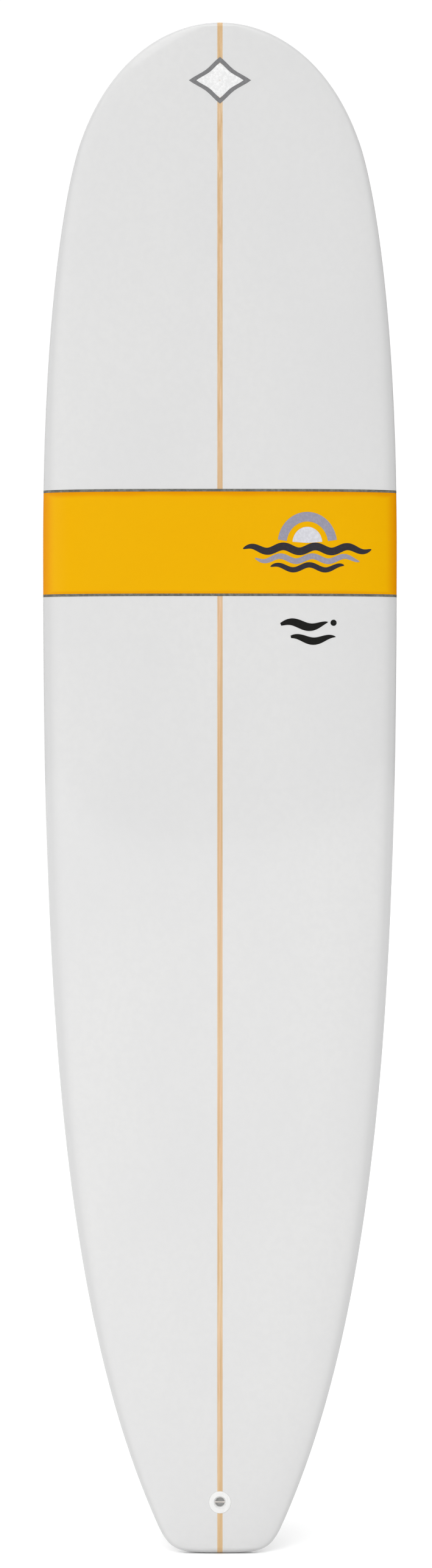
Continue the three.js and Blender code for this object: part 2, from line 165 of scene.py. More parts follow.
def on_deck(x, z, lift=0.0):
    """Points of the deck over flat x and z, raised by lift."""
    x, z = np.broadcast_arrays(np.asarray(x, float), np.asarray(z, float))
    y = surface_level(DECK, x / half_width(z), z)
    return np.stack([x, y - lift, z], axis=-1)


def place_on(side, x, z, toe=0.0):
    """The place of a fitting on the surface: its +Y points out of the board, and its +Z to the nose."""
    step = 0.001

    def level(px, pz):
        return float(surface_level(side, px / half_width(pz), pz))

    slope_x = (level(x + step, z) - level(x - step, z)) / (2 * step)
    slope_z = (level(x, z + step) - level(x, z - step)) / (2 * step)
    out = Vector((-slope_x, 1, -slope_z)).normalized() * side
    along = Vector((math.sin(toe), 0, math.cos(toe)))
    along = (along - along.dot(out) * out).normalized()
    matrix = Matrix((out.cross(along), out, along)).transposed().to_4x4()
    matrix.translation = (x, level(x, z), z)
    return matrix


# --- Mesh helpers --------------------------------------------------------------------------------


def mesh_object(name, points, faces, material=None, matrix=None):
    mesh = bpy.data.meshes.new(name)
    mesh.from_pydata(np.asarray(points, float).reshape(-1, 3).tolist(), [], faces)
    if matrix is not None:
        mesh.transform(matrix)
    work = bmesh.new()
    work.from_mesh(mesh)
    bmesh.ops.recalc_face_normals(work, faces=work.faces)
    work.to_mesh(mesh)
    work.free()
    if material is not None:
        mesh.materials.append(material)
    obj = bpy.data.objects.new(name, mesh)
    SCENE.collection.objects.link(obj)
    return obj


def grid_faces(index):
    """Quads over a 2-D array of vertex numbers."""
    a, b, c, d = index[:-1, :-1], index[:-1, 1:], index[1:, 1:], index[1:, :-1]
    return np.stack([a, b, c, d], axis=-1).reshape(-1, 4).tolist()


def inward(points):
    """Unit directions from the surface towards the nearest part of the board's core."""
    core = points.copy()
    core[..., 2] = np.clip(points[..., 2], CORE_DEPTH, LENGTH - CORE_DEPTH)
    reach = half_width(core[..., 2]) - CORE_DEPTH
    core[..., 0] = np.clip(points[..., 0], -reach, reach)
    core[..., 1] = rail_line(core[..., 2])
    way = core - points
    return way / np.linalg.norm(way, axis=-1, keepdims=True)


def slab(outer, inner):
    """A closed solid between two grids of points of the same shape."""
    rows, columns = outer.shape[:2]
    index = np.arange(rows * columns).reshape(rows, columns)
    far = index + index.size
    border = np.concatenate([index[0], index[1:, -1], index[-1, -2::-1], index[-2:0:-1, 0]])
    following = np.roll(border, -1)
    rim = np.stack([border, following, following + index.size, border + index.size], axis=-1)
    points = np.concatenate([outer.reshape(-1, 3), inner.reshape(-1, 3)])
    return points, grid_faces(index) + grid_faces(far) + rim.tolist()


def loft(rings):
    """A closed solid through closed rings of equally many points, with flat ends."""
    rings = [np.asarray(ring, float) for ring in rings]
    count, sides = len(rings), len(rings[0])
    index = np.arange(count * sides).reshape(count, sides)
    faces = grid_faces(np.concatenate([index, index[:, :1]], axis=1))
    return np.concatenate(rings), faces + [index[0].tolist(), index[-1].tolist()]


def circle(radius, y, sides):
    angle = np.arange(sides) * 2 * math.pi / sides
    return np.stack([radius * np.cos(angle), np.full(sides, y), radius * np.sin(angle)], axis=-1)


def lathe(profile, sides=96):
    """A turned solid about Y, through [radius, y] points; its two ends are closed flat."""
    return loft([circle(radius, y, sides) for radius, y in profile])


def soften(points, size, steps=4, closed=False):
    """The polyline with its corners rounded off over the given size."""
    points = [np.array(p, float) for p in points]
    count = len(points)
    made = [] if closed else [points[0]]
    for i in range(count) if closed else range(1, count - 1):
        before, at, after = points[i - 1], points[i], points[(i + 1) % count]
        room = min(np.linalg.norm(before - at), np.linalg.norm(after - at)) / 2
        reach = min(size, 0.98 * room)
        start = at + (before - at) / np.linalg.norm(before - at) * reach
        end = at + (after - at) / np.linalg.norm(after - at) * reach
        for t in np.linspace(0, 1, steps + 1):
            made.append(start * (1 - t) ** 2 + 2 * at * t * (1 - t) + end * t * t)
    return made if closed else made + [points[-1]]


def prism(outline, low, high, edge=0.0, steps=3):
    """A bar along Y with an [x, z] outline; its end faces' edges are rounded over edge."""
    outline = np.array(outline, float)
    middle = (outline.max(axis=0) + outline.min(axis=0)) / 2
    half = (outline.max(axis=0) - outline.min(axis=0)) / 2
    turns = np.linspace(0, math.pi / 2, steps + 1) if edge else [math.pi / 2]
    levels = [(low + edge * (1 - math.cos(turn)), edge * (1 - math.sin(turn))) for turn in turns]
    levels += [(low + high - y, inset) for y, inset in reversed(levels)]
    rings = []
    for y, inset in levels:
        flat = middle + (outline - middle) * (1 - inset / half)
        rings.append(np.stack([flat[:, 0], np.full(len(flat), y), flat[:, 1]], axis=-1))
    return loft(rings)


def rectangle(width, length, corner, steps=5, middle=0.0):
    """An [x, z] outline with rounded corners."""
    x, z = width / 2, length / 2
    corners = [(x, middle - z), (x, middle + z), (-x, middle + z), (-x, middle - z)]
    return soften(corners, corner, steps, closed=True)


def stadium(length, width, y, steps=16):
    """A closed ring with round ends, long in Z."""
    angle = np.linspace(0, math.pi, steps + 1)
    straight = (length - width) / 2
    x = np.concatenate([np.cos(angle), -np.cos(angle)]) * width / 2
    z = np.concatenate([np.sin(angle) * width / 2 + straight, -np.sin(angle) * width / 2 - straight])
    return np.stack([x, np.full(len(x), float(y)), z], axis=-1)


def bar_along_x(radius, length, bevel, sides=48):
    """A round bar along X with rounded ends, centred on the origin."""
    core, end = radius / 8, length / 2
    profile = soften([(core, -end), (radius, -end), (radius, end), (core, end)], bevel)
    points, faces = lathe(profile, sides)
    return points[:, [1, 0, 2]] * [1, -1, 1], faces


def baked_in(obj):
    """Applies an object's modifiers."""
    made = bpy.data.meshes.new_from_object(obj.evaluated_get(bpy.context.evaluated_depsgraph_get()))
    old = obj.data
    obj.modifiers.clear()
    obj.data = made
    made.name = obj.name
    bpy.data.meshes.remove(old)


def combine(obj, operation, *tools):
    """Joins or cuts obj with the tools, which are kept."""
    for tool in tools:
        change = obj.modifiers.new("change", "BOOLEAN")
        change.operation = operation
        change.solver = "EXACT"
        change.object = tool
    baked_in(obj)
    return obj


def drop(*objects):
    for obj in objects:
        bpy.data.objects.remove(obj)


def smooth(obj, angle):
    obj.data.polygons.foreach_set("use_smooth", [True] * len(obj.data.polygons))
    obj.data.set_sharp_from_angle(angle=math.radians(angle))


def finish_piece(obj, body, slot, *nodes, angle=32):
    """The last step for each piece: shading, the body that it rides on, and what it replaces; slot is not
    used.
    """
    smooth(obj, angle)
    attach(obj, body)
    if nodes:
        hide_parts(*nodes)
    return obj


# --- Materials -----------------------------------------------------------------------------------

CLEAR_COAT = {"Specular_IOR_Level": 0.0, "Coat_Weight": 0.75, "Coat_Roughness": 0.05, "Coat_IOR": 1.42}


def add_node(tree, kind, inputs=None, **properties):
    """A shader node with its properties set, and its inputs linked or filled in."""
    node = tree.nodes.new("ShaderNode" + kind)
    for key, value in properties.items():
        setattr(node, key, value)
    for key, value in (inputs or {}).items():
        if isinstance(value, bpy.types.NodeSocket):
            tree.links.new(value, node.inputs[key])
        else:
            node.inputs[key].default_value = value
    return node


class Look:
    """One procedural material, with short ways to add its nodes."""

    def __init__(self, name, colour, **settings):
        self.material = bpy.data.materials.new(name)
        self.material.use_nodes = True
        self.tree = self.material.node_tree
        self.shader = self.tree.nodes["Principled BSDF"]
        self.colour = colour
        self.shader.inputs["Base Color"].default_value = (*colour, 1)
        for socket, value in settings.items():
            self.shader.inputs[socket.replace("_", " ")].default_value = value
        coordinates = self.add("TexCoord").outputs
        self.place, self.facing = coordinates["Object"], coordinates["Normal"]

    def add(self, kind, inputs=None, **properties):
        return add_node(self.tree, kind, inputs, **properties)

    def scaled(self, scale):
        return self.add("Mapping", {"Vector": self.place, "Scale": scale}).outputs["Vector"]

    def noise(self, scale, detail=3.0, stretch=None, roughness=0.5, distortion=0.0):
        vector = self.place if stretch is None else self.scaled(stretch)
        return self.add("TexNoise", {
            "Vector": vector, "Scale": scale, "Detail": detail, "Roughness": roughness,
            "Distortion": distortion,
        }).outputs["Fac"]

    def math(self, operation, a, b=0.0, c=0.0):
        return self.add("Math", {0: a, 1: b, 2: c}, operation=operation).outputs[0]

    def axis(self, name):
        return self.add("SeparateXYZ", {"Vector": self.place}).outputs[name]

    def flatness(self):
        """1 where the surface faces straight along Y, and 0 where it faces sideways."""
        return self.math("ABSOLUTE", self.add("SeparateXYZ", {"Vector": self.facing}).outputs["Y"])

    def between(self, value, low, high, to_low=0.0, to_high=1.0):
        return self.add("MapRange", {
            "Value": value, "From Min": low, "From Max": high, "To Min": to_low, "To Max": to_high,
        }, interpolation_type="SMOOTHSTEP").outputs["Result"]

    def mix(self, share, a, b):
        """Two colours, or colour sockets, mixed by a share."""
        node = self.add("Mix", {"Factor": share}, data_type="RGBA")
        for socket, value in ((node.inputs[6], a), (node.inputs[7], b)):
            if isinstance(value, bpy.types.NodeSocket):
                self.tree.links.new(value, socket)
            else:
                socket.default_value = (*value, 1)
        return node.outputs[2]

    def bump(self, height, distance, strength=1.0, under=None):
        inputs = {"Height": height, "Distance": distance, "Strength": strength}
        if under is not None:
            inputs["Normal"] = under
        return self.add("Bump", inputs).outputs["Normal"]

    def drive(self, **sockets):
        for name, source in sockets.items():
            self.tree.links.new(source, self.shader.inputs[name.replace("_", " ")])
        return self

    def shade(self, factor):
        return tuple(min(1.0, c * factor) for c in self.colour)


def weave(look, thread=0.0007):
    """The height of a plain glass cloth weave, seen under the resin."""
    rate = math.pi / thread
    x = look.math("SINE", look.math("MULTIPLY", look.axis("X"), rate))
    z = look.math("SINE", look.math("MULTIPLY", look.axis("Z"), rate))
    return look.math("MULTIPLY_ADD", look.math("MULTIPLY", x, z), 0.5, 0.5)


def glass_finish(look):
    """Cloth under the surface, faint waves in the polished coat, and soft rubbing marks."""
    patches = look.noise(3.2, 3)
    scuffs = look.noise(55, 5, stretch=(1, 1, 0.25), roughness=0.65)
    roughness = look.between(look.math("MULTIPLY", patches, scuffs), 0.18, 0.42, 0.22, 0.34)
    ripple = look.bump(look.noise(38, 2), 0.0004, 0.10)
    cloth = look.bump(weave(look), 0.00006, 0.25, under=ripple)
    look.drive(Roughness=roughness, Normal=cloth, Coat_Normal=ripple)
    return look


def white_glass():
    """White laminate, with painted shade: a shade greyer over the rails, where the surface turns sideways."""
    look = Look("white_glass", (0.645, 0.645, 0.645), **CLEAR_COAT)
    clouds = look.between(look.noise(2.3, 4, stretch=(1.6, 1, 1)), 0.3, 0.7)
    fine = look.between(look.noise(90, 3), 0.35, 0.65)
    tint = look.mix(clouds, look.shade(0.985), (0.655, 0.654, 0.65))
    body = look.mix(look.math("MULTIPLY", fine, 0.35), tint, look.shade(0.965))
    # painted shade: where the surface turns sideways over the rails it is painted a shade greyer
    painted_rail_shade = look.between(look.flatness(), 0.95, 0.82)
    look.drive(Base_Color=look.mix(painted_rail_shade, body, look.shade(0.90)))
    return glass_finish(look).material


def yellow_glass():
    """Pigmented resin, deeper near the band's front and rear edges, with painted shade deepening it towards
    the rails.
    """
    look = Look("yellow_glass", (0.745, 0.386, 0.0015), **CLEAR_COAT)
    deep = (0.69, 0.262, 0.001)
    z = look.axis("Z")
    across = look.math("ABSOLUTE", look.axis("X"))
    wander = look.math("MULTIPLY_ADD", look.noise(14, 3), 0.006, -0.003)
    high = look.math("ADD", z, wander)
    front = look.between(high, BAND_FRONT - 0.011, BAND_FRONT - 0.001)
    rear = look.between(high, BAND_REAR + 0.007, BAND_REAR + 0.001, 0, 0.6)
    # painted shade: the band is painted deeper orange towards the rails
    rail = look.between(across, HALF_WIDTH - 0.022, HALF_WIDTH - 0.001)
    band_edges_and_painted_rail_shade = look.math("MAXIMUM", look.math("MAXIMUM", front, rear), rail)
    streaks = look.between(look.noise(5, 4, stretch=(1, 1, 3.5), distortion=0.6), 0.3, 0.72, 0, 0.22)
    body = look.mix(streaks, look.colour, (0.75, 0.36, 0.0015))
    look.drive(Base_Color=look.mix(band_edges_and_painted_rail_shade, body, deep))
    return glass_finish(look).material


def dark_resin():
    look = Look("dark_resin", (0.135, 0.135, 0.118), Specular_IOR_Level=0.0, Coat_Weight=1.0,
                Coat_Roughness=0.08, Coat_IOR=1.5)
    worn = look.between(look.noise(160, 4, roughness=0.7), 0.35, 0.75)
    look.drive(
        Base_Color=look.mix(worn, look.shade(0.8), look.shade(1.5)),
        Roughness=look.between(worn, 0, 1, 0.25, 0.4),
        Normal=look.bump(look.noise(300, 2), 0.0001, 0.3),
    )
    return look.material


def foam():
    """Cut polyurethane foam: tiny open cells."""
    look = Look("foam", (0.86, 0.84, 0.77), Roughness=0.9)
    cells = look.add("TexVoronoi", {"Vector": look.place, "Scale": 900.0}).outputs["Distance"]
    look.drive(
        Base_Color=look.mix(look.noise(8, 3), look.shade(0.95), look.colour),
        Roughness=look.between(cells, 0, 1, 0.85, 1.0),
        Normal=look.bump(cells, 0.0004, 0.5),
    )
    return look.material


def wood():
    """Pale basswood with warm streaks along the grain, under clear resin."""
    look = Look("wood", (0.645, 0.475, 0.30), **CLEAR_COAT)
    along = (1, 1, 0.012)
    streaks = look.between(look.noise(260, 5, stretch=along, roughness=0.62, distortion=0.4), 0.35, 0.68)
    fibres = look.between(look.noise(1500, 3, stretch=(1, 1, 0.02)), 0.35, 0.65)
    boards = look.between(look.noise(3.1, 2, stretch=(0.1, 0.1, 1)), 0.38, 0.62)
    pale = look.mix(boards, (0.69, 0.52, 0.335), (0.695, 0.47, 0.31))
    warm = look.mix(streaks, pale, (0.58, 0.385, 0.205))
    z = look.axis("Z")
    ends = look.math("MAXIMUM", look.between(z, 0.30, 0.0, 0, 0.55), look.between(z, 2.45, 2.57, 0, 0.55))
    toned = look.mix(ends, warm, (0.60, 0.40, 0.19))
    look.drive(
        Base_Color=look.mix(look.math("MULTIPLY", fibres, 0.3), toned, (0.52, 0.34, 0.18)),
        Roughness=look.between(fibres, 0, 1, 0.3, 0.5),
        Normal=look.bump(fibres, 0.00012, 0.35),
        Coat_Normal=look.bump(look.noise(38, 2), 0.0004, 0.08),
    )
    return look.material


def moulded(name, colour, roughness, scale=700.0, worn=0.9):
    """Moulded plastic: a fine eggshell skin, faint flow marks and light scuffs."""
    look = Look(name, colour, Specular_IOR_Level=0.45)
    skin = look.noise(scale, 3, roughness=0.6)
    flow = look.between(look.noise(24, 4, stretch=(1, 1, 0.4), distortion=0.8), 0.3, 0.7)
    scuffs = look.between(look.noise(210, 6, stretch=(1, 0.6, 0.2), roughness=0.75), 0.55, 0.75)
    look.drive(
        Base_Color=look.mix(look.math("MULTIPLY", scuffs, 0.5), look.mix(flow, colour, look.shade(worn)),
                            look.shade(2 - worn)),
        Roughness=look.math("ADD", look.between(flow, 0, 1, roughness, roughness + 0.06),
                            look.math("MULTIPLY", scuffs, 0.12)),
        Normal=look.bump(skin, 0.00008, 0.35),
    )
    return look.material


def fin_plastic():
    """Glossy glass-filled nylon: short fibres just show, over faint lighter clouds."""
    look = Look("fin_plastic", (0.018, 0.020, 0.023), Coat_Weight=0.5, Coat_Roughness=0.12, Coat_IOR=1.42,
                Specular_IOR_Level=0.3)
    fibres = look.between(look.noise(420, 4, stretch=(1, 1, 0.22), roughness=0.7, distortion=1.2), 0.5, 0.72)
    clouds = look.between(look.noise(18, 3), 0.3, 0.7)
    base = look.mix(clouds, look.colour, look.shade(1.5))
    look.drive(
        Base_Color=look.mix(look.math("MULTIPLY", fibres, 0.35), base, (0.075, 0.08, 0.088)),
        Roughness=look.between(fibres, 0, 1, 0.28, 0.42),
        Normal=look.bump(look.noise(520, 3), 0.00008, 0.3),
    )
    return look.material


def brushed_metal(name, colour, roughness, stretch=(0.06, 1, 1)):
    look = Look(name, colour, Metallic=1.0, Anisotropic=0.4)
    lines = look.noise(900, 4, stretch=stretch, roughness=0.6)
    smudges = look.between(look.noise(60, 3), 0.35, 0.7)
    look.drive(
        Base_Color=look.mix(smudges, colour, look.shade(0.86)),
        Roughness=look.math("ADD", look.between(lines, 0.3, 0.7, roughness, roughness + 0.12),
                            look.math("MULTIPLY", smudges, 0.06)),
        Normal=look.bump(lines, 0.00003, 0.4),
    )
    return look.material


def ink(name, colour, roughness=0.3):
    """A printed mark: slightly uneven cover, under the clear coat."""
    look = Look(name, colour, **CLEAR_COAT)
    cover = look.between(look.noise(240, 5, roughness=0.7), 0.4, 0.7)
    look.drive(
        Base_Color=look.mix(look.math("MULTIPLY", cover, 0.5), look.shade(0.9), look.shade(1.25)),
        Roughness=look.between(cover, 0, 1, roughness, roughness + 0.1),
        Normal=look.bump(look.noise(420, 2), 0.00005, 0.3),
    )
    return look.material


LOOKS = {
    "white_glass": white_glass(),
    "yellow_glass": yellow_glass(),
    "dark_resin": dark_resin(),
    "foam": foam(),
    "wood": wood(),
    "cup_plastic": moulded("cup_plastic", (0.76, 0.76, 0.752), 0.24, worn=0.96),
    "fin_box_plastic": moulded("fin_box_plastic", (0.76, 0.76, 0.75), 0.36, worn=0.95),
    "plug_plastic": moulded("plug_plastic", (0.79, 0.79, 0.78), 0.32, worn=0.95),
    "fin_plastic": fin_plastic(),
    "stainless": brushed_metal("stainless", (0.60, 0.61, 0.62), 0.22),
    "brass": brushed_metal("brass", (0.66, 0.47, 0.17), 0.25),
}
DULL_STEEL = brushed_metal("dull_steel", (0.62, 0.59, 0.555), 0.42)
GREY_INK = ink("grey_ink", (0.30, 0.29, 0.36))
DARK_INK = ink("dark_ink", (0.035, 0.032, 0.038))
SILVER_INK = ink("silver_ink", (0.62, 0.62, 0.66))
WHITE_INK = ink("white_ink", (0.80, 0.80, 0.80))
BLACK_INK = ink("black_ink", (0.014, 0.014, 0.013))
SLATE_INK = ink("slate_ink", (0.20, 0.20, 0.205))

# --- Fittings: sizes and places, as in the CAD ---------------------------------------------------

LEASH = place_on(DECK, 0, 0.086)
CUP_FLANGE, CUP_BODY, CUP_POCKET = 0.0185, 0.015, 0.0105
CUP_DRAFT = 0.0028  # how much the pocket narrows below its rounded mouth
CUP_DEPTH, CUP_POCKET_DEPTH, CUP_FLANGE_DEPTH, CUP_PROUD = 0.021, 0.015, 0.002, 0.00025
BAR_RADIUS, BAR_LENGTH, BAR_DEPTH = 0.00175, 0.0244, 0.005

BOX_PLACE = place_on(BOTTOM, 0, 0.263)
BOX_LENGTH, BOX_WIDTH, BOX_DEPTH, BOX_PROUD = 0.267, 0.0254, 0.025, 0.0002
SLOT_LENGTH, SLOT_WIDTH, SLOT_DEPTH = 0.245, 0.010, 0.021
GROOVE_WIDTH, GROOVE_TOP, GROOVE_BOTTOM, NOTCH_LENGTH = 0.0156, 0.008, 0.0128, 0.012

FIN_REAR, FIN_FRONT, FIN_DEPTH = -0.095, 0.073, 0.180
FIN_THICKNESS, FIN_TIP_THICKNESS, FIN_BASE_DEPTH = 0.0092, 0.0034, 0.019
TONGUE_FRONT, TONGUE_TOP, TONGUE_BOTTOM = 0.095, 0.0033, 0.0073
PIN_RADIUS, PIN_LENGTH, PIN_INSET = 0.0021, 0.015, 0.012
PIN_DEPTH = (GROOVE_TOP + GROOVE_BOTTOM) / 2
SCREW_INSET, SCREW_RADIUS, SCREW_HEAD, SCREW_TIP = 0.011, 0.002, 0.004, 0.014
SCREW_HEAD_TOP, SCREW_HEAD_BOTTOM, SCREW_HOLE = 0.0005, 0.003, 0.0023
SCREW_PLACE = BOX_PLACE @ Matrix.Translation((0, 0, TONGUE_FRONT - SCREW_INSET))
PLATE_WIDTH, PLATE_LENGTH, PLATE_THICKNESS, PLATE_TOP = 0.0148, 0.014, 0.0025, 0.0083

SIDE_HEIGHT, SIDE_ACROSS, SIDE_TOE = 0.375, 0.160, math.radians(3)
SIDE_DEPTH, SIDE_HALF, SIDE_LIFT = 0.090, 0.049, 0.0005
SIDE_THICKNESS, SIDE_TIP_THICKNESS = 0.0062, 0.0022
TAB_SPACING, TAB_LENGTH, TAB_WIDTH, TAB_DEPTH = 0.052, 0.015, 0.006, 0.013
PLUG_RADIUS, PLUG_DEPTH, PLUG_PROUD = 0.0135, 0.0165, 0.00025
PLUG_SLOT_LENGTH, PLUG_SLOT_WIDTH, PLUG_SLOT_DEPTH = 0.0158, 0.0068, 0.0145
GRUB_RADIUS, GRUB_LENGTH, GRUB_SUNK, GRUB_TILT, GRUB_ACROSS = 0.002, 0.0068, 0.0006, 25, 0.0083
GRUB_HOLE, GRUB_HOLE_DEPTH, SOCKET_RADIUS, SOCKET_DEPTH = 0.0023, 0.011, 0.0011, 0.002

SIDES = []
for label, sign in (("left", -1), ("right", 1)):
    place = place_on(BOTTOM, sign * SIDE_ACROSS, SIDE_HEIGHT, -sign * SIDE_TOE)
    SIDES.append((label, -sign, place))
PLUGS = [
    (f"{label}_{end}", inboard, place @ Matrix.Translation((0, 0, way * TAB_SPACING / 2)))
    for label, inboard, place in SIDES
    for end, way in (("front", 1), ("rear", -1))
]

# --- Pockets that the fittings sit in ------------------------------------------------------------


def pocket_cutters():
    """Closed solids that cut each fitting's pocket, larger than the fitting by the seam."""
    over = 0.012  # how far they stand out of the board
    cup = [
        (CUP_BODY + SEAM, -CUP_DEPTH - SEAM), (CUP_BODY + SEAM, -CUP_FLANGE_DEPTH - SEAM),
        (CUP_FLANGE + SEAM, -CUP_FLANGE_DEPTH - SEAM), (CUP_FLANGE + SEAM, over),
    ]
    made = {"leash": [mesh_object("cut_leash", *lathe(cup, 128), matrix=LEASH)]}
    rings = [stadium(BOX_LENGTH + 2 * SEAM, BOX_WIDTH + 2 * SEAM, y, 28) for y in (-BOX_DEPTH - SEAM, over)]
    made["box"] = [mesh_object("cut_box", *loft(rings), matrix=BOX_PLACE)]
    for name, _, place in PLUGS:
        rings = [circle(PLUG_RADIUS + SEAM, y, 96) for y in (-PLUG_DEPTH - SEAM, over)]
        made.setdefault(name.split("_")[0], []).append(mesh_object("cut_" + name, *loft(rings), matrix=place))
    return made


CUTTERS = pocket_cutters()

# --- The shell, the stringer and the core --------------------------------------------------------


def rows_between(low, high):
    clear = 0.0004
    return np.array([low, *[z for z in ROWS if low + clear < z < high - clear], high])


def end_rows(low, high):
    """Rows that also keep the closely spaced ones at the board's two ends."""
    return np.array([low, *[z for z in ROWS if low < z < high], high])


def skin(name, rows, turns, material, proud=0.0):
    """A laminate panel: turns gives the places round the board for each row."""
    points = np.stack([surface(turns(z), z) for z in rows])
    ways = inward(points)
    return mesh_object(name, *slab(points - proud * ways, points + SKIN * ways), material)


def to_stringer(z, mirrored=False, side=DECK):
    """Turns of a half panel, from the lap line or the rail to the stringer."""
    centre = math.acos(min(1.0, (STRINGER_HALF + SEAM / 2) / float(half_width(z))))
    lap = math.acos(LAP)
    if side == DECK:
        turns = np.concatenate([np.linspace(-lap, 0, 11), np.linspace(0, centre, 43)[1:]])
    else:
        gap = SEAM / float(half_width(z))
        turns = -np.linspace(math.acos(LAP - gap), centre, 37)
    return math.pi - turns if mirrored else turns


def across_deck(_):
    """Turns right across the deck, from lap line to lap line."""
    lap = math.acos(LAP)
    wrap = np.linspace(-lap, 0, 11)
    return np.concatenate([wrap, np.linspace(0, math.pi, 90)[1:-1], math.pi - wrap[::-1]])


def add_shell():
    white = LOOKS["white_glass"]
    pin_rear, pin_front = BAND_REAR - PINLINE, BAND_FRONT + PINLINE
    spans = {
        "tail": end_rows(FIRST_ROW, pin_rear - SEAM),
        "nose": end_rows(pin_front + SEAM, LAST_ROW),
    }
    for end, rows in spans.items():
        for label, mirrored in (("right", False), ("left", True)):
            panel = skin(f"deck_{end}_{label}", rows, lambda z, m=mirrored: to_stringer(z, m), white)
            if end == "tail":
                combine(panel, "DIFFERENCE", *CUTTERS["leash"])
            finish_piece(panel, BOARD, "white_glass", f"deck_skin_{end}")
    for label, mirrored in (("right", False), ("left", True)):
        panel = skin(
            f"bottom_{label}", end_rows(FIRST_ROW, LAST_ROW),
            lambda z, m=mirrored: to_stringer(z, m, BOTTOM), white,
        )
        combine(panel, "DIFFERENCE", *CUTTERS["box"], *CUTTERS[label])
        finish_piece(panel, BOARD, "white_glass", "bottom_skin")
    band = skin("band", rows_between(BAND_REAR + SEAM, BAND_FRONT - SEAM), across_deck, LOOKS["yellow_glass"])
    finish_piece(band, BOARD, "yellow_glass", "deck_band")
    for end, low, high in (("rear", pin_rear, BAND_REAR), ("front", BAND_FRONT, pin_front)):
        strip = skin(f"pinline_strip_{end}", np.linspace(low, high, 5), across_deck, LOOKS["dark_resin"],
                     PINLINE_PROUD)
        finish_piece(strip, BOARD, "dark_resin", f"pinline_{end}")


def add_stringer():
    """The wooden plank, flush with the glass on both sides and sunk under the band."""
    half = STRINGER_HALF - SEAM / 2
    sunk = SKIN + 0.0002
    covered = (BAND_REAR - PINLINE - SEAM, BAND_FRONT + PINLINE + SEAM)
    step = 0.00002
    rows = [(z, 0.0) for z in end_rows(FIRST_ROW, LAST_ROW) if not covered[0] < z < covered[1]]
    for level, inside in zip(covered, (1, -1)):
        rows += [(level - inside * step, 0.0), (level + inside * step, sunk)]
    rows += [(z, sunk) for z in ROWS if covered[0] < z < covered[1]]
    across = np.linspace(-half, half, 7)
    rings = []
    for z, depth in sorted(rows):
        share = across / max(float(half_width(z)), half)
        deck = surface_level(DECK, share, z) + depth
        bottom = surface_level(BOTTOM, share, z)
        ring = zip([*across, *across[::-1]], [*deck, *bottom[::-1]])
        rings.append([(x, y, z) for x, y in ring])
    plank = mesh_object("stringer_plank", *loft(rings), LOOKS["wood"])
    combine(plank, "DIFFERENCE", *CUTTERS["leash"], *CUTTERS["box"])
    finish_piece(plank, BOARD, "wood", "stringer")


def add_core():
    """The foam halves, inside the glass."""
    inset = SKIN + 0.0003
    near = STRINGER_HALF + 0.0001
    ends = 0.006
    for label, sign in (("left", -1), ("right", 1)):
        rings = []
        for z in np.linspace(ends, LENGTH - ends, 120):
            half = float(half_width(z)) - 3 * inset
            centre = math.acos(min(0.99, near / half))
            turns = np.concatenate([np.linspace(-centre, 0, 16), np.linspace(0, centre, 20)[1:]])
            side = np.where(turns > 0, DECK, BOTTOM)
            y = surface_level(side, np.cos(turns), z, 1.6 * inset)
            rings.append(np.stack([sign * half * np.cos(turns), y, np.full(len(turns), z)], axis=-1))
        core = mesh_object(f"foam_core_{label}", *loft(rings), LOOKS["foam"])
        combine(core, "DIFFERENCE", *CUTTERS["leash"], *CUTTERS["box"], *CUTTERS[label])
        finish_piece(core, BOARD, "foam", f"foam_{label}")


# --- Leash plug ----------------------------------------------------------------------------------


def add_leash_plug():
    floor, wall = -CUP_POCKET_DEPTH, CUP_POCKET - CUP_DRAFT
    outside = [(CUP_BODY / 2, -CUP_DEPTH), (CUP_BODY, -CUP_DEPTH), (CUP_BODY, -CUP_FLANGE_DEPTH)]
    lip = (CUP_POCKET, CUP_PROUD)
    rim = soften([(CUP_FLANGE, -CUP_FLANGE_DEPTH), (CUP_FLANGE, CUP_PROUD), lip], 0.0007, 5)
    mouth = soften([lip, (wall, -0.004), (wall, floor)], 0.002, 6)
    bowl = soften([(wall, floor + 0.004), (wall, floor), (0.002, floor)], 0.003, 6)
    profile = outside + rim + mouth[1:-1] + bowl[1:]
    cup = mesh_object("leash_cup_body", *lathe(profile, 128), LOOKS["cup_plastic"], LEASH)
    bar_place = LEASH @ Matrix.Translation((0, -BAR_DEPTH, 0))
    bore = bar_along_x(BAR_RADIUS + SEAM, BAR_LENGTH + 0.0003, 0.0002)
    hole = mesh_object("cut_bar", *bore, matrix=bar_place)
    combine(cup, "DIFFERENCE", hole)
    drop(hole)
    finish_piece(cup, BOARD, "cup_plastic", "leash_cup")
    bar = mesh_object("leash_bar_rod", *bar_along_x(BAR_RADIUS, BAR_LENGTH, 0.0004), DULL_STEEL, bar_place)
    finish_piece(bar, BOARD, "stainless", "leash_bar")


# --- Centre fin, box and fixings -----------------------------------------------------------------


def box_face(ring, lift):
    """The ring's points moved up to the bottom's surface, plus lift."""
    raised = ring.copy()
    for i, (x, _, z) in enumerate(ring):
        low, high = -0.02, 0.02
        for _ in range(30):
            y = (low + high) / 2
            p = BOX_PLACE @ Vector((x, y, z))
            if p.y < float(surface_level(BOTTOM, p.x / half_width(p.z), p.z)):
                low = y
            else:
                high = y
        raised[i, 1] = (low + high) / 2 + lift
    return raised


